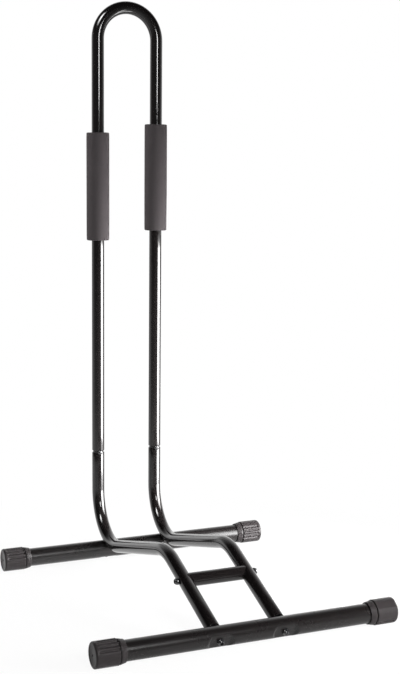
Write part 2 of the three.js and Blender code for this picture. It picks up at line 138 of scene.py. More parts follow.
class Layout:
    """Where the pieces lie, in metres, in the frame of the solids."""

    def __init__(self):
        s = sizes()
        self.tube_r = s.tube / 2
        self.bore_r = s.tube / 2 - s.wall
        self.cross_r = s.cross / 2
        front, rear = node_centre("front_tube"), node_centre("rear_tube")
        self.front = Vector((0, front.y, front.z))
        self.rear = Vector((0, rear.y, rear.z))
        hoop_low, hoop_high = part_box("hoop_tube")
        self.upright_y = (hoop_low.y + hoop_high.y) / 2
        self.upright_x = (hoop_high.x - hoop_low.x) / 2 - self.tube_r
        self.top = hoop_high.z
        self.spigot_foot = hoop_low.z
        self.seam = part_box("lower_tube_left")[1].z
        plug = node_centre("front_plug_right")
        self.front_x = self.upright_x - FRONT_INSET
        self.hump = Vector((0, self.front.y + HUMP_BACK, HUMP_HEIGHT))
        self.slope = (self.hump - self.front).normalized()
        self.slope_start = self.front + self.slope * (self.cross_r + GAP)
        self.brace = self.front + self.slope * BRACE_UP_SLOPE
        reach = self.cross_r + self.tube_r - s.saddle
        self.bend_centre = Vector((0, self.upright_y - s.bend, 0))
        back = self.bend_centre.y - self.rear.y
        self.bend_centre.z = self.rear.z + sqrt((s.bend + reach) ** 2 - back * back)
        self.saddle_up = (self.bend_centre - self.rear).normalized()
        to_centre = self.bend_centre - self.hump
        self.run_angle = atan2(to_centre.z, to_centre.y) - asin(s.bend / hypot(to_centre.y, to_centre.z))
        rise = (self.upright_y - self.hump.y) * tan(self.run_angle)
        self.heel = Vector((0, self.upright_y, self.hump.z + rise))
        middle = self.slope_start + self.slope * (PLUG_LENGTH / 2)
        assert abs(plug.y - middle.y) < 0.5 * MM, "the slopes have moved"

    def on_tube(self, side, point):
        """The point of one lower tube's axis that lies at a place of the side view."""
        share = (self.upright_y - point.y) / (self.upright_y - self.front.y)
        x = self.upright_x + (self.front_x - self.upright_x) * share
        return Vector((SIDES[side] * x, point.y, point.z))

    def slope_of(self, side):
        return (self.on_tube(side, self.hump) - self.on_tube(side, self.front)).normalized()


# ---- Materials -----------------------------------------------------------------------------------

class Value:
    """A number that varies over a surface; sums with it add Math nodes."""

    def __init__(self, graph, socket):
        self.graph = graph
        self.socket = socket

    def _math(self, operation, first, second):
        made = self.graph.node("ShaderNodeMath", {"operation": operation}, {0: first, 1: second})
        return Value(self.graph, made.outputs[0])

    def __add__(self, other):
        return self._math("ADD", self, other)

    def __radd__(self, other):
        return self._math("ADD", other, self)

    def __sub__(self, other):
        return self._math("SUBTRACT", self, other)

    def __rsub__(self, other):
        return self._math("SUBTRACT", other, self)

    def __mul__(self, other):
        return self._math("MULTIPLY", self, other)

    def __rmul__(self, other):
        return self._math("MULTIPLY", other, self)

    def __truediv__(self, other):
        return self._math("DIVIDE", self, other)

    def __pow__(self, other):
        return self._math("POWER", self, other)

    def most(self, other):
        return self._math("MAXIMUM", self, other)

    def between(self, low, high):
        """0 below low, 1 above high, and a smooth climb between."""
        made = self.graph.node(
            "ShaderNodeMapRange",
            {"interpolation_type": "SMOOTHSTEP"},
            {"Value": self, "From Min": low, "From Max": high, "To Min": 0.0, "To Max": 1.0},
        )
        return Value(self.graph, made.outputs["Result"])


class Graph:
    """The nodes of one material or of the world."""

    def __init__(self, tree):
        self.tree = tree
        tree.nodes.clear()

    def node(self, kind, settings=None, values=None):
        made = self.tree.nodes.new(kind)
        for key, setting in (settings or {}).items():
            setattr(made, key, setting)
        for key, value in (values or {}).items():
            socket = made.inputs[key]
            if isinstance(value, Value):
                value = value.socket
            if isinstance(value, bpy.types.NodeSocket):
                self.tree.links.new(value, socket)
            else:
                socket.default_value = value
        return made

    def place(self):
        return self.node("ShaderNodeTexCoord").outputs["Object"]

    def mapped(self, scale):
        values = {"Vector": self.place(), "Scale": scale}
        return self.node("ShaderNodeMapping", None, values).outputs[0]

    def noise(self, scale, detail=2.0, roughness=0.5, where=None):
        values = {"Vector": where or self.place(), "Scale": scale, "Detail": detail, "Roughness": roughness}
        return Value(self, self.node("ShaderNodeTexNoise", None, values).outputs["Fac"])

    def cells(self, scale):
        made = self.node("ShaderNodeTexVoronoi", None, {"Vector": self.place(), "Scale": scale})
        return Value(self, made.outputs["Distance"])

    def blend(self, factor, first, second):
        made = self.node(
            "ShaderNodeMix",
            {"data_type": "RGBA"},
            {"Factor": factor, 6: first, 7: second},
        )
        return made.outputs[2]

    def bump(self, height, depth, strength):
        values = {"Height": height, "Distance": depth, "Strength": strength}
        return self.node("ShaderNodeBump", None, values).outputs[0]


def opaque(rgb, gain=1.0):
    return (rgb[0] * gain, rgb[1] * gain, rgb[2] * gain, 1.0)


class Finishes:
    """Every material of the rack, made once and shared."""

    made = {}

    @classmethod
    def get(cls, name):
        if name not in cls.made:
            material = bpy.data.materials.new(name)
            material.use_nodes = True
            graph = Graph(material.node_tree)
            sockets = getattr(cls, name)(graph)
            shader = graph.node("ShaderNodeBsdfPrincipled", None, sockets)
            graph.node("ShaderNodeOutputMaterial", None, {"Surface": shader.outputs[0]})
            cls.made[name] = material
        return cls.made[name]

    @staticmethod
    def black_enamel(g):
        """Gloss black stoved enamel: a faint orange peel, and a little dust that dulls it in places."""
        paint = finishes().enamel
        peel = g.noise(420, 2.0, 0.5)
        sag = g.noise(55, 1.0, 0.5)
        dust = g.noise(2600, 2.0, 0.6).between(0.66, 0.78)
        haze = g.noise(24, 3.0, 0.55).between(0.35, 0.75)
        return {
            "Base Color": g.blend(dust * 0.15, opaque(paint), opaque(paint, 4.5)),
            "Roughness": 0.1 + haze * 0.03 + dust * 0.04,
            "IOR": 1.5,
            "Normal": g.bump(peel + sag * 2.5, 0.00003, 0.06),
        }

    @staticmethod
    def satin_enamel(g):
        """The cross tubes' enamel, a shade less glossy than the bent tubes'."""
        sockets = Finishes.black_enamel(g)
        haze = g.noise(30, 3.0, 0.55).between(0.35, 0.75)
        sockets["Roughness"] = 0.27 + haze * 0.06
        return sockets

    @staticmethod
    def sleeve_foam(g):
        """Closed-cell foam: a skin of fine pores, with broader dents and paler rubbed patches."""
        grey = finishes().foam
        pores = g.cells(900)
        fine = g.noise(1500, 2.0, 0.6)
        broad = g.noise(60, 3.0, 0.5)
        rubbed = g.noise(34, 3.0, 0.55).between(0.5, 0.8)
        tone = g.blend(rubbed * 0.5, opaque(grey), opaque(grey, 1.35))
        height = pores * 0.6 + fine * 0.5 + broad * 1.6
        return {
            "Base Color": g.blend(pores.between(0.25, 0.7) * 0.35, tone, opaque(grey, 0.6)),
            "Roughness": 0.86 + fine * 0.1,
            "Specular IOR Level": 0.25,
            "Normal": g.bump(height, 0.00035, 0.7),
        }

    @staticmethod
    def cap_plastic(g):
        """Moulded plastic with a fine spark-eroded grain and faint flow marks along the cap."""
        grey = finishes().plastic
        grain = g.noise(1900, 3.0, 0.65)
        flow = g.noise(1.0, 3.0, 0.5, where=g.mapped(scale=(25, 160, 160)))
        scuff = g.noise(300, 2.0, 0.5, where=g.mapped(scale=(1, 0.15, 1))).between(0.62, 0.75)
        tone = g.blend(flow.between(0.35, 0.7) * 0.5, opaque(grey), opaque(grey, 1.3))
        return {
            "Base Color": g.blend(scuff * 0.3, tone, opaque(grey, 2.0)),
            "Roughness": 0.34 + grain * 0.12,
            "Specular IOR Level": 0.22,
            "Normal": g.bump(grain, 0.00009, 0.6),
        }

    @staticmethod
    def blackened_steel(g):
        """Black oxide on turned steel, rubbed a little where a key has been."""
        grey = finishes().steel
        grain = g.noise(2400, 2.0, 0.6)
        rubbed = g.noise(700, 2.0, 0.6).between(0.6, 0.75)
        return {
            "Base Color": g.blend(rubbed * 0.3, opaque(grey), opaque(grey, 5.0)),
            "Metallic": rubbed * 0.5,
            "IOR": 1.9,
            "Roughness": 0.1 + grain * 0.08,
            "Normal": g.bump(grain, 0.00003, 0.5),
        }

    @staticmethod
    def zinc_plate(g):
        """Bright zinc over turned steel."""
        bright = finishes().zinc
        turned = g.noise(1.0, 2.0, 0.5, where=g.mapped(scale=(900, 900, 3000)))
        spots = g.noise(500, 3.0, 0.6).between(0.5, 0.8)
        return {
            "Base Color": g.blend(spots * 0.5, opaque(bright), opaque(bright, 0.7)),
            "Metallic": 1.0,
            "Roughness": 0.2 + turned * 0.15,
            "Normal": g.bump(turned, 0.00002, 0.5),
        }


# ---- Shaping -------------------------------------------------------------------------------------

def facing(direction):
    """A turn that lays +Z along a direction."""
    return Vector((0, 0, 1)).rotation_difference(direction).to_matrix().to_4x4()


class Sweep:
    """A pipe grown from a ring of faces by extruding and spinning it."""

    def __init__(self, start, direction, outer, bore, segments=64):
        self.bm = bmesh.new()
        self.at = start.copy()
        self.direction = direction.normalized()
        lie = Matrix.Translation(start) @ facing(self.direction)
        rims = []
        for radius in (outer, bore):
            rim = bmesh.ops.create_circle(self.bm, segments=segments, radius=radius, matrix=lie)["verts"]
            rims.extend({edge for vert in rim for edge in vert.link_edges})
        self.faces = bmesh.ops.bridge_loops(self.bm, edges=rims)["faces"]
        self.outer, self.bore = outer, bore
        self.grown = False

    def verts(self):
        return list({vert for face in self.faces for vert in face.verts})

    def _take(self, geometry):
        """Makes the new end the open one, and clears the passed end out of the wall."""
        passed = [face for face in self.faces if face.is_valid]
        self.faces = [item for item in geometry if isinstance(item, bmesh.types.BMFace)]
        if self.grown and passed:
            bmesh.ops.delete(self.bm, geom=passed, context="FACES")
        self.grown = True

    def straight(self, distance, rings=1):
        step = self.direction * (distance / rings)
        for _ in range(rings):
            grown = bmesh.ops.extrude_face_region(self.bm, geom=self.faces)["geom"]
            self._take(grown)
            bmesh.ops.translate(self.bm, vec=step, verts=self.verts())
            self.at = self.at + step
        return self

    def bend(self, centre, axis, angle, steps):
        spun = bmesh.ops.spin(
            self.bm, geom=self.faces, cent=centre, axis=axis, angle=angle, steps=steps,
            use_merge=False, use_normal_flip=False, use_duplicate=False,
        )["geom_last"]
        self._take(spun)
        turn = Matrix.Rotation(angle, 4, axis)
        self.at = centre + turn @ (self.at - centre)
        self.direction = (turn @ self.direction).normalized()
        return self

    def resize(self, outer, bore):
        """Draws the open end's two rims in or out."""
        middle = (self.outer + self.bore) / 2
        lie = (Matrix.Translation(self.at) @ facing(self.direction)).inverted()
        for now, new, outside in ((self.outer, outer, True), (self.bore, bore, False)):
            rim = [v for v in self.verts() if ((v.co - self.at).length > middle) == outside]
            bmesh.ops.scale(self.bm, vec=(new / now, new / now, 1), space=lie, verts=rim)
        self.outer, self.bore = outer, bore
        return self


def sharpen(bm, angle=35):
    """Smooth faces everywhere, with a crisp edge where two meet at more than an angle."""
    limit = radians(angle)
    for face in bm.faces:
        face.smooth = True
    for edge in bm.edges:
        edge.smooth = not (len(edge.link_faces) == 2 and edge.calc_face_angle(0) > limit)


def soften(bm, edges, width, segments=3):
    """Rounds edges over."""
    bmesh.ops.bevel(
        bm, geom=list(edges), offset=width, offset_type="OFFSET", segments=segments, profile=0.5,
        affect="EDGES", clamp_overlap=True, material=-1,
    )


def rim_edges(bm, point, normal, tolerance=1e-5):
    """The edges that lie in a plane and join faces at a corner."""
    found = []
    for edge in bm.edges:
        flat = all(abs((vert.co - point).dot(normal)) < tolerance for vert in edge.verts)
        if flat and len(edge.link_faces) == 2 and edge.calc_face_angle(0) > radians(40):
            found.append(edge)
    return found


def finish_piece(bm, name, material, slot, *stands_for):
    """Turns a bmesh into a piece that rides on the rack in place of some solids."""
    bmesh.ops.remove_doubles(bm, verts=bm.verts, dist=1e-7)
    bmesh.ops.recalc_face_normals(bm, faces=bm.faces)
    sharpen(bm)
    mesh = bpy.data.meshes.new(name)
    bm.to_mesh(mesh)
    bm.free()
    piece = bpy.data.objects.new(name, mesh)
    bpy.context.scene.collection.objects.link(piece)
    mesh.materials.append(Finishes.get(material))
    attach(piece, BODY)
    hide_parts(*stands_for)
    return piece


def smooth_least(a, b, blend):
    """The smaller of two numbers, with the corner between them rounded."""
    h = max(blend - abs(a - b), 0) / blend
    return min(a, b) - h * h * blend / 4


def smooth_step(low, high, x):
    t = min(max((x - low) / (high - low), 0), 1)
    return t * t * (3 - 2 * t)


# ---- Operators: one for each piece or group of like pieces ---------------------------------------

class RACK_OT_hoop(bpy.types.Operator):
    """The hoop: one bent tube with both of its ends drawn in to fit the lower tubes"""

    bl_idname = "rack.hoop"
    bl_label = "Hoop"

    def execute(self, context):
        place, s = Layout(), sizes()
        spigot_bore = s.neck - s.wall
        foot = Vector((-place.upright_x, place.upright_y, place.spigot_foot))
        neck_top = place.seam + 2.4 * MM
        shoulder = 1.8 * MM
        crown = Vector((0, place.upright_y, place.top - place.tube_r - place.upright_x))
        hoop = Sweep(foot, Vector((0, 0, 1)), s.neck, spigot_bore)
        hoop.straight(neck_top - foot.z)
        steps = 5
        for i in range(1, steps + 1):
            share = sin(pi / 2 * i / steps)
            radius = s.neck + (place.tube_r - s.neck) * share
            hoop.straight(shoulder / steps).resize(radius, radius - s.wall)
        hoop.straight(crown.z - hoop.at.z, 8)
        hoop.bend(crown, Vector((0, 1, 0)), pi, 48)
        hoop.straight(crown.z - neck_top - shoulder, 8)
        for i in range(steps - 1, -1, -1):
            share = sin(pi / 2 * i / steps)
            radius = s.neck + (place.tube_r - s.neck) * share
            hoop.straight(shoulder / steps).resize(radius, radius - s.wall)
        hoop.straight(neck_top - foot.z)
        finish_piece(hoop.bm, "hoop", "black_enamel", "tube", "hoop_tube")
        return {"FINISHED"}


class RACK_OT_lower_tubes(bpy.types.Operator):
    """The two lower tubes: down from the seam, round the heel, up the run, over the hump and down"""

    bl_idname = "rack.lower_tubes"
    bl_label = "Lower tubes"

    def execute(self, context):
        place, s = Layout(), sizes()
        for side in SIDES:
            corners = [Vector((0, place.upright_y, place.seam)), place.heel, place.hump, place.slope_start]
            corners = [place.on_tube(side, corner) for corner in corners]
            pipe = Sweep(corners[0], Vector((0, 0, -1)), place.tube_r, place.bore_r)
            for i in (1, 2):
                after = (corners[i + 1] - corners[i]).normalized()
                turn = pipe.direction.angle(after)
                axis = pipe.direction.cross(after).normalized()
                lead = (corners[i] - pipe.at).length - s.bend * tan(turn / 2)
                pipe.straight(lead, 3)
                centre = pipe.at + axis.cross(pipe.direction) * s.bend
                pipe.bend(centre, axis, turn, max(12, round(degrees(turn) / 2.5)))
            pipe.straight((corners[3] - pipe.at).length, 3)
            top = rim_edges(pipe.bm, corners[0], Vector((0, 0, 1)))
            end = rim_edges(pipe.bm, corners[3], pipe.direction)
            soften(pipe.bm, top + end, 0.35 * MM, 2)
            finish_piece(pipe.bm, f"lower_tube_{side}_piece", "black_enamel", "tube", f"lower_tube_{side}")
        return {"FINISHED"}


class RACK_OT_brace(bpy.types.Operator):
    """The brace between the two slopes, its ends coped to their round"""

    bl_idname = "rack.brace"
    bl_label = "Brace"

    def execute(self, context):
        place = Layout()
        radius = node_size("brace_tube").z / 2
        ends = {side: place.on_tube(side, place.brace) for side in SIDES}
        pipe = Sweep(ends["left"], Vector((1, 0, 0)), radius, radius - BRACE_WALL)
        pipe.straight((ends["right"] - ends["left"]).length, 2)
        cope = place.tube_r + COPE_GAP
        for side, sign in SIDES.items():
            slope = place.slope_of(side)
            for vert in [v for v in pipe.bm.verts if abs(v.co.x - ends[side].x) < MM]:
                offset = vert.co - ends[side]
                along = offset - slope * offset.dot(slope)
                away = Vector((0, along.y, along.z)).length
                vert.co.x -= sign * sqrt(max(cope * cope - away * away, 0))
        finish_piece(pipe.bm, "brace", "black_enamel", "tube", "brace_tube")
        return {"FINISHED"}


class RACK_OT_cross_tubes(bpy.types.Operator):
    """The two cross tubes, with pockets pressed in for the screws' heads and saddles at the rear"""

    bl_idname = "rack.cross_tubes"
    bl_label = "Cross tubes"

    def execute(self, context):
        place, s = Layout(), sizes()
        for name, axis in (("front", place.front), ("rear", place.rear)):
            low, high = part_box(f"{name}_tube")
            pipe = Sweep(Vector((low.x, axis.y, axis.z)), Vector((1, 0, 0)), place.cross_r,
                         place.cross_r - s.cross_wall, segments=112)
            middles = [place.on_tube(side, axis).x for side in SIDES]
            spread = 30 * MM
            stops = [middle + side * spread for middle in middles for side in (-1, 1)] + [high.x]
            for i, stop in enumerate(stops):
                fine = i in (1, 3)
                pipe.straight(stop - pipe.at.x, round((stop - pipe.at.x) / MM) if fine else 4)
            for side in SIDES:
                centre = place.on_tube(side, axis)
                out = -place.slope_of(side) if name == "front" else -place.saddle_up
                self.press_pocket(pipe.bm, centre, out, place, s)
                if name == "rear":
                    self.press_saddle(pipe.bm, side, place, s)
            finish_piece(pipe.bm, f"{name}_cross_tube", "satin_enamel", "tube", f"{name}_tube")
        return {"FINISHED"}

    @staticmethod
    def press_pocket(bm, centre, out, place, s):
        floor = place.cross_r - s.pocket
        for vert in bm.verts:
            offset = vert.co - centre
            depth = offset.dot(out)
            if depth <= 0 or abs(offset.x) > POCKET_REACH:
                continue
            aside = (offset - out * depth).length
            outside = hypot(offset.y, offset.z) > place.cross_r - s.cross_wall / 2
            bottom = floor if outside else floor - s.cross_wall
            limit = bottom + 7 * MM * smooth_step(15.2 * MM, 22 * MM, aside)
            vert.co -= out * (depth - smooth_least(depth, limit, 2.8 * MM))

    @staticmethod
    def press_saddle(bm, side, place, s):
        centre = place.on_tube(side, place.rear)
        for vert in bm.verts:
            x = vert.co.x - centre.x
            if abs(x) > SADDLE_REACH or vert.co.z < place.rear.z:
                continue
            arm = Vector((0, vert.co.y - place.bend_centre.y, vert.co.z - place.bend_centre.z))
            outward = arm.length - s.bend
            away = hypot(x, outward)
            from_axis = hypot(vert.co.y - place.rear.y, vert.co.z - place.rear.z)
            outside = from_axis > place.cross_r - s.cross_wall / 2
            clear = place.tube_r + GAP + (0 if outside else s.cross_wall)
            moved = -smooth_least(-away, -clear, 2.4 * MM)
            if moved > away + 1e-9 and away > 1e-6:
                grow = moved / away
                vert.co.x = centre.x + x * grow
                vert.co += arm.normalized() * (outward * (grow - 1))


class RACK_OT_sleeves(bpy.types.Operator):
    """The two foam sleeves on the uprights"""

    bl_idname = "rack.sleeves"
    bl_label = "Foam sleeves"

    def execute(self, context):
        place = Layout()
        for side, sign in SIDES.items():
            low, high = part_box(f"foam_sleeve_{side}")
            foot = Vector((sign * place.upright_x, place.upright_y, low.z))
            radius = (high.y - low.y) / 2
            sleeve = Sweep(foot, Vector((0, 0, 1)), radius, place.tube_r + 0.2 * MM, segments=72)
            sleeve.straight(high.z - low.z, 60)
            rims = rim_edges(sleeve.bm, foot, Vector((0, 0, 1)))
            rims += rim_edges(sleeve.bm, sleeve.at, Vector((0, 0, 1)))
            outer = [e for e in rims if (e.verts[0].co.xy - foot.xy).length > radius * 0.8]
            soften(sleeve.bm, outer, 1.5 * MM, 4)
            self.settle(sleeve.bm, foot, radius, (low.z, high.z), sign)
            piece = finish_piece(sleeve.bm, f"foam_{side}", "sleeve_foam", "foam", f"foam_sleeve_{side}")
        return {"FINISHED"}

    @staticmethod
    def settle(bm, foot, radius, ends, sign):
        """Soft dents along the sleeve, and a rim that isn't quite flat."""
        for vert in bm.verts:
            out = Vector((vert.co.x - foot.x, vert.co.y - foot.y, 0))
            if out.length < radius * 0.7:
                continue
            seed = Vector((vert.co.x * 30 + 7 * sign, vert.co.y * 30, vert.co.z * 14))
            dent = noise.noise(seed) * 0.35 * MM
            near = min(vert.co.z - ends[0], ends[1] - vert.co.z)
            waist = 0.35 * MM * (1 - smooth_step(0, 9 * MM, near))
            vert.co += out.normalized() * (dent - 0.15 * MM - waist * 0.6)
            if near < 3 * MM:
                tilt = noise.noise(Vector((out.x * 60, out.y * 60, sign * 3 + vert.co.z * 5)))
                vert.co.z += tilt * 0.5 * MM * (1 if vert.co.z < (ends[0] + ends[1]) / 2 else -1) * 0.5


class RACK_OT_caps(bpy.types.Operator):
    """The four end caps, each with a collar, a groove, a body with finger flutes and a flat sole"""

    bl_idname = "rack.caps"
    bl_label = "End caps"

    # How each cap happens to be turned: the middle of its first group of flutes, up from the front.
    turns = {"front_left": 60, "front_right": -68, "rear_left": 53.5, "rear_right": 11}
    # Which of a cap's three groups is a plain facet instead of flutes.
    plain = {"front_left": 2, "front_right": 1, "rear_left": 2, "rear_right": 2}

    def execute(self, context):
        place = Layout()
        for end, axis in (("front", place.front), ("rear", place.rear)):
            for side, sign in SIDES.items():
                self.make_cap(f"{end}_{side}", f"cap_{end}_{side}", axis, sign, place)
        return {"FINISHED"}

    def make_cap(self, key, node, axis, sign, place):
        low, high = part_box(node)
        outer_end = high.x if sign > 0 else low.x
        mouth = low.x if sign > 0 else high.x
        span = abs(outer_end - mouth)
        radius = (high.y - low.y) / 2
        bore = place.cross_r + GAP
        collar, groove = 8.5 * MM, 10.1 * MM
        line = [
            (bore, 2.6 * MM), (14.95 * MM, 0.35 * MM), (15.1 * MM, 0.08 * MM), (15.25 * MM, 0),
            (15.45 * MM, 0.2 * MM), (15.6 * MM, 0.6 * MM), (16.1 * MM, 3.4 * MM),
            (16.8 * MM, 6 * MM), (17.1 * MM, 7.9 * MM),
            (16.9 * MM, 8.4 * MM), (16.3 * MM, collar), (15.7 * MM, collar + 0.3 * MM),
            (15.7 * MM, groove - 0.3 * MM), (16.6 * MM, groove), (radius - 0.35 * MM, groove + 0.1 * MM),
            (radius, groove + 0.5 * MM),
        ]
        rings = 34
        body_end = span - 2.6 * MM
        for i in range(1, rings + 1):
            line.append((radius, groove + 0.5 * MM + (body_end - groove - 0.5 * MM) * i / rings))
        for i in range(1, 7):
            angle = pi / 2 * i / 6
            line.append((radius - 2.6 * MM * (1 - cos(angle)), body_end + 2.6 * MM * sin(angle)))
        line += [
            (radius - 4.2 * MM, span), (radius - 4.6 * MM, span - 0.1 * MM),
            (radius - 5 * MM, span - 0.5 * MM),
            (radius - 5.5 * MM, span - 0.6 * MM), (2 * MM, span - 0.6 * MM), (1.6 * MM, span - 0.75 * MM),
            (1.3 * MM, span - 1.4 * MM), (0, span - 1.5 * MM),
        ]
        inside = [(0, span - 4 * MM), (bore, span - 4 * MM), (bore, 2.6 * MM)]
        bm = bmesh.new()
        verts = [
            bm.verts.new((mouth + sign * along, axis.y - out, axis.z)) for out, along in line + inside[:-1]
        ]
        edges = [bm.edges.new(pair) for pair in zip(verts, verts[1:] + verts[:1])]
        bmesh.ops.spin(
            bm, geom=verts + edges, cent=(mouth, axis.y, axis.z), axis=(1, 0, 0), angle=2 * pi, steps=240,
            use_merge=True, use_normal_flip=False, use_duplicate=False,
        )
        bmesh.ops.remove_doubles(bm, verts=bm.verts, dist=1e-6)
        self.cut_flutes(bm, key, axis, sign, mouth, radius, groove, span)
        for vert in bm.verts:
            if vert.co.z < low.z:
                vert.co.z = low.z
        finish_piece(bm, f"end_{node}", "cap_plastic", "cap", node)

    def cut_flutes(self, bm, key, axis, sign, mouth, radius, groove, span):
        pitch, facet = 20, 18  # degrees: from flute to flute, and half of the plain field
        half, deep = 2.7 * MM, 1.5 * MM
        start, stop = groove - 4 * MM, span - 6.5 * MM
        for vert in bm.verts:
            along = sign * (vert.co.x - mouth)
            out = Vector((0, vert.co.y - axis.y, vert.co.z - axis.z))
            if along < groove + 0.4 * MM or out.length < radius - 3.2 * MM:
                continue
            angle = degrees(atan2(out.z, -out.y))
            depth = 0.0
            for group in range(3):
                middle = self.turns[key] + 120 * group
                if group == self.plain[key]:
                    turn = (angle - middle + 180) % 360 - 180
                    if abs(turn) < facet:
                        flat = radius * cos(radians(facet)) / cos(radians(turn))
                        depth = max(depth, radius - flat)
                    continue
                for k in (-1.5, -0.5, 0.5, 1.5):
                    turn = (angle - middle - pitch * k + 180) % 360 - 180
                    aside = radians(turn) * radius
                    past = max(along - stop, 0)
                    away = hypot(aside, past) / half
                    if away < 1 and along > start:
                        depth = max(depth, deep * (0.5 + 0.5 * cos(pi * away)))
            if depth > 0:
                vert.co -= out.normalized() * depth


class RACK_OT_screws(bpy.types.Operator):
    """The six large screws and the two small ones, with domed heads and hexagon sockets"""

    bl_idname = "rack.screws"
    bl_label = "Screws"

    # A head's outline, as shares of its radius and height.
    large = {
        "profile": [
            (1.0, 0.0), (1.0, 0.18), (0.985, 0.3), (0.94, 0.5),
            (0.86, 0.7), (0.75, 0.87), (0.63, 0.97), (0.56, 1.0),
        ],
        "head_r": 5 * MM, "head_h": 5.5 * MM, "shank_r": 3 * MM,
        "across_flats": 5 * MM, "socket_depth": 3 * MM,
    }
    small = {
        "profile": [
            (1.0, 0.0), (1.0, 0.1), (0.97, 0.3), (0.9, 0.5),
            (0.79, 0.68), (0.66, 0.82), (0.54, 0.92),
        ],
        "head_r": 4 * MM, "head_h": 2.6 * MM, "shank_r": 2.5 * MM,
        "across_flats": 3 * MM, "socket_depth": 1.4 * MM,
    }

    def execute(self, context):
        place = Layout()
        for side, sign in SIDES.items():
            out = {
                "brace_bolt": Vector((sign, 0, 0)),
                "front_bolt": -place.slope_of(side),
                "rear_bolt": -place.saddle_up,
            }
            points = {
                "brace_bolt": place.on_tube(side, place.brace),
                "front_bolt": place.on_tube(side, place.front),
                "rear_bolt": place.on_tube(side, place.rear),
            }
            for kind, direction in out.items():
                seat = place.tube_r + GAP if kind == "brace_bolt" else place.cross_r - HEAD_SEAT
                shank = self.shank_length(f"{kind}_{side}", direction, self.large["head_h"])
                screw = self.turn_screw(points[kind] + direction * seat, direction, shank, **self.large)
                finish_piece(screw, f"{kind}_{side}_piece", "blackened_steel", "bolt", f"{kind}_{side}")
            front = place.upright_y - place.tube_r - GAP
            seat = Vector((sign * place.upright_x, front, place.seam + MM))
            shank = node_size(f"hoop_screw_{side}").y - self.small["head_h"]
            screw = self.turn_screw(seat, Vector((0, -1, 0)), shank, **self.small)
            finish_piece(screw, f"seam_screw_{side}", "blackened_steel", "bolt", f"hoop_screw_{side}")
        return {"FINISHED"}

    @staticmethod
    def shank_length(node, direction, head):
        """A screw's length under its head, from its solid's box."""
        size = node_size(node)
        steep = max(range(3), key=lambda i: abs(direction[i]))
        lean = 3 * MM * sqrt(max(1 - direction[steep] ** 2, 0))
        return (size[steep] - lean - lean) / abs(direction[steep]) - head

    @staticmethod
    def turn_screw(seat, out, length, profile, head_r, head_h, shank_r, across_flats, socket_depth):
        bm = bmesh.new()
        lie = Matrix.Translation(seat) @ facing(out)
        count = 48
        shank = bmesh.ops.create_circle(bm, cap_ends=True, segments=count, radius=shank_r * 0.8,
                                        matrix=lie @ Matrix.Translation((0, 0, -length)))["verts"]
        ring = list({edge for vert in shank for edge in vert.link_edges})
        outline = [(shank_r, -length + shank_r * 0.2), (shank_r, 0)]
        outline += [(head_r * across, head_h * up) for across, up in profile]
        now = shank_r * 0.8
        height = -length
        for radius, level in outline:
            grown = bmesh.ops.extrude_edge_only(bm, edges=ring)["geom"]
            verts = [item for item in grown if isinstance(item, bmesh.types.BMVert)]
            ring = [item for item in grown if isinstance(item, bmesh.types.BMEdge)]
            bmesh.ops.scale(bm, vec=(radius / now, radius / now, 1), space=lie.inverted(), verts=verts)
            bmesh.ops.translate(bm, vec=out * (level - height), verts=verts)
            now, height = radius, level
        top = lie @ Matrix.Translation((0, 0, head_h))
        bmesh.ops.create_circle(bm, segments=6, radius=across_flats / sqrt(3), matrix=top)
        flats = [edge for edge in bm.edges if not edge.link_faces and edge not in ring]
        bmesh.ops.subdivide_edges(bm, edges=flats, cuts=count // 6 - 1, use_grid_fill=False)
        loose = [vert for vert in bm.verts if not vert.link_faces]
        flats = list({edge for vert in loose for edge in vert.link_edges})
        bmesh.ops.bridge_loops(bm, edges=ring + flats)
        grown = bmesh.ops.extrude_edge_only(bm, edges=flats)["geom"]
        verts = [item for item in grown if isinstance(item, bmesh.types.BMVert)]
        bmesh.ops.translate(bm, vec=-out * socket_depth, verts=verts)
        bmesh.ops.contextual_create(bm, geom=[item for item in grown if isinstance(item, bmesh.types.BMEdge)])
        return bm


class RACK_OT_inner_parts(bpy.types.Operator):
    """The plugs and nuts inside the tubes, which keep their solids and get their zinc finish"""

    bl_idname = "rack.inner_parts"
    bl_label = "Plugs and nuts"

    def execute(self, context):
        for side in SIDES:
            for kind in ("hoop_nut", "brace_plug", "front_plug", "rear_nut"):
                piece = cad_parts[f"{kind}_{side}"]
                piece.data.materials.clear()
                piece.data.materials.append(Finishes.get("zinc_plate"))
        return {"FINISHED"}


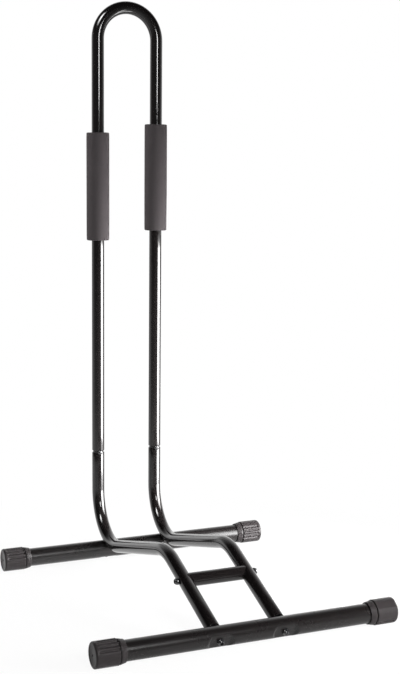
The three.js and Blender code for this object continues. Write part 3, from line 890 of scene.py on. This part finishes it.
class RACK_OT_stage(bpy.types.Operator):
    """The floor, the lamps, the world and the camera"""

    bl_idname = "rack.stage"
    bl_label = "Stage"

    # From the fit of the rack's outline to the photograph.
    eye = Vector((-0.73874, -1.7156, 0.63823))
    yaw, pitch, roll = 24.06, 7.59, 0.54

    def execute(self, context):
        scene = context.scene
        scene.view_settings.view_transform = "Standard"
        self.make_floor()
        self.make_world(scene)
        self.make_lamps()
        self.make_camera(scene)
        return {"FINISHED"}

    def make_camera(self, scene):
        data = bpy.data.cameras.new("view")
        data.sensor_fit = "HORIZONTAL"
        data.sensor_width = 36
        data.lens = stage_settings().lens
        data.clip_end = 60
        camera = bpy.data.objects.new("view", data)
        scene.collection.objects.link(camera)
        a, t, r = radians(self.yaw), radians(self.pitch), radians(self.roll)
        ahead = Vector((sin(a) * cos(t), cos(a) * cos(t), -sin(t)))
        level = Vector((cos(a), -sin(a), 0))
        up = level.cross(ahead)
        right = level * cos(r) + up * sin(r)
        up = up * cos(r) - level * sin(r)
        turn = Matrix((right, up, -ahead)).transposed().to_4x4()
        camera.matrix_world = Matrix.Translation(self.eye) @ turn
        scene.camera = camera

    def make_floor(self):
        """White to the camera; in reflections it glows as painted light that fades to the front, with one
        painted pool of light far above white.
        """
        bm = bmesh.new()
        bmesh.ops.create_grid(bm, x_segments=8, y_segments=8, size=20)
        mesh = bpy.data.meshes.new("floor")
        bm.to_mesh(mesh)
        bm.free()
        floor = bpy.data.objects.new("floor", mesh)
        bpy.context.scene.collection.objects.link(floor)
        material = bpy.data.materials.new("floor_paint")
        material.use_nodes = True
        g = Graph(material.node_tree)
        mottle = g.noise(3.0, 2.0, 0.5)
        pale = opaque(stage_settings().floor)
        shade = g.blend(mottle * 0.03, pale, opaque(pale, 0.97))
        paint = g.node("ShaderNodeBsdfDiffuse", None, {"Color": shade})
        spot = g.node("ShaderNodeSeparateXYZ", None, {0: g.place()})
        x, y = Value(g, spot.outputs[0]), Value(g, spot.outputs[1])
        apart = (x * x + y * y) ** 0.5
        before = (x * self.eye.x + y * self.eye.y) / hypot(self.eye.x, self.eye.y)
        rays = g.node("ShaderNodeLightPath")
        seen = Value(g, rays.outputs["Is Camera Ray"])
        mirrored = Value(g, rays.outputs["Is Glossy Ray"])
        white = stage_settings().floor_white
        share = seen * (white + apart.between(0.25, 0.6) * (1 - white)) + mirrored
        # Painted light: in reflections the floor glows, with a painted pool of light beside the right leg and
        # a painted shade that dims it towards the camera.
        painted_light_pool = x.between(0.16, 0.3) * y.between(-0.16, -0.06) * (1.0 - y.between(0.06, 0.14)) * 8.0
        painted_fade_to_front = 1.0 + before.most(0.0) * 2.4 + (0.0 - before).between(0.4, 0.9) * 0.7
        level = 1.0 - mirrored + mirrored * painted_light_pool + mirrored * 1.15 / painted_fade_to_front
        glow = g.node("ShaderNodeEmission", None, {"Color": (1, 1, 1, 1), "Strength": level})
        mixed = g.node("ShaderNodeMixShader", None, {0: share, 1: paint.outputs[0], 2: glow.outputs[0]})
        g.node("ShaderNodeOutputMaterial", None, {"Surface": mixed.outputs[0]})
        mesh.materials.append(material)

    def make_world(self, scene):
        """White to the camera; in reflections bright behind and above the rack, dim towards the camera."""
        world = bpy.data.worlds.new("studio")
        world.use_nodes = True
        scene.world = world
        g = Graph(world.node_tree)
        direction = g.node("ShaderNodeTexCoord").outputs["Generated"]
        parts = g.node("ShaderNodeSeparateXYZ", None, {0: direction})
        height = Value(g, parts.outputs[2])
        to_camera = self.eye.copy()
        to_camera.z = 0
        sides = {0: direction, 1: to_camera.normalized()}
        dot = g.node("ShaderNodeVectorMath", {"operation": "DOT_PRODUCT"}, sides)
        ahead = Value(g, dot.outputs["Value"])
        wall = 0.08 + (1.0 - ahead.between(-0.6, 0.2)) * 1.2
        low = 1.0 - height.between(0.1, 0.4)
        above = (1.0 - ahead.between(-0.95, -0.3)) * height.between(0.05, 0.3) * 1.2
        room = wall * low + above
        rays = g.node("ShaderNodeLightPath")
        camera = Value(g, rays.outputs["Is Camera Ray"]).most(Value(g, rays.outputs["Is Transmission Ray"]))
        glossy = Value(g, rays.outputs["Is Glossy Ray"])
        strength = camera + (1.0 - camera) * (glossy * room + (1.0 - glossy) * 0.26)
        background = g.node("ShaderNodeBackground", None, {"Color": (1, 1, 1, 1), "Strength": strength})
        g.node("ShaderNodeOutputWorld", None, {"Surface": background.outputs[0]})

    def make_lamps(self):
        self.lamp("side_box", (0.42, -0.065, 0.24), (-0.01, 0.236, 0.24), 0.37, 0.48, 6.5, 95)
        self.lamp("key", (0.07, -1.81, 1.08), (0.0, 0.1, 0.6), 0.32, 0.5, 17)
        self.lamp("high_left", (-1.1, -0.3, 1.9), (0.0, 0.4, 0.5), 0.9, 0.9, 3.4, 38).visible_diffuse = False
        self.lamp("top", (0.3, 0.6, 2.6), (0.0, 0.0, 0.2), 1.8, 1.8, 12).visible_glossy = False
        self.lamp("far_left", (-1.2, 0.9, 1.0), (0.0, 0.236, 0.68), 0.6, 0.6, 3.2, 50).visible_glossy = False
        low_right = self.lamp("low_right", (1.0, -0.9, 0.35), (0.21, -0.236, 0.02), 0.5, 0.5, 6, 60)
        low_right.visible_glossy = False

    @staticmethod
    def lamp(name, place, target, width, height, power, spread=180):
        data = bpy.data.lights.new(name, "AREA")
        data.shape = "RECTANGLE"
        data.size, data.size_y = width, height
        data.energy = power
        data.spread = radians(spread)
        lamp = bpy.data.objects.new(name, data)
        bpy.context.scene.collection.objects.link(lamp)
        lamp.location = place
        lamp.rotation_euler = (Vector(target) - Vector(place)).to_track_quat("-Z", "Y").to_euler()
        lamp.visible_camera = False
        return lamp


class RACK_PT_panel(bpy.types.Panel):
    bl_idname = "RACK_PT_panel"
    bl_label = "Bike Rack"
    bl_space_type = "VIEW_3D"
    bl_region_type = "UI"
    bl_category = "Bike Rack"

    def draw(self, context):
        for group in (sizes(), finishes(), stage_settings()):
            box = self.layout.box()
            for name in group.bl_rna.properties.keys():
                if name not in ("rna_type", "name"):
                    box.prop(group, name)
        for operator in OPERATORS:
            self.layout.operator(operator.bl_idname)


OPERATORS = (
    RACK_OT_stage,
    RACK_OT_hoop,
    RACK_OT_lower_tubes,
    RACK_OT_brace,
    RACK_OT_cross_tubes,
    RACK_OT_sleeves,
    RACK_OT_caps,
    RACK_OT_screws,
    RACK_OT_inner_parts,
)
GROUPS = (RackTubeSizes, RackFinishes, RackStageSettings)


def register():
    for cls in GROUPS + OPERATORS + (RACK_PT_panel,):
        bpy.utils.register_class(cls)
    bpy.types.Scene.rack_tube_sizes = bpy.props.PointerProperty(type=RackTubeSizes)
    bpy.types.Scene.rack_finishes = bpy.props.PointerProperty(type=RackFinishes)
    bpy.types.Scene.rack_stage = bpy.props.PointerProperty(type=RackStageSettings)


def unregister():
    del bpy.types.Scene.rack_stage
    del bpy.types.Scene.rack_finishes
    del bpy.types.Scene.rack_tube_sizes
    for cls in reversed(GROUPS + OPERATORS + (RACK_PT_panel,)):
        bpy.utils.unregister_class(cls)


def plain(box):
    return [list(corner) for corner in box]


def main():
    register()
    for operator in OPERATORS:
        group, name = operator.bl_idname.split(".")
        getattr(getattr(bpy.ops, group), name)()


if __name__ == "__main__":
    main()
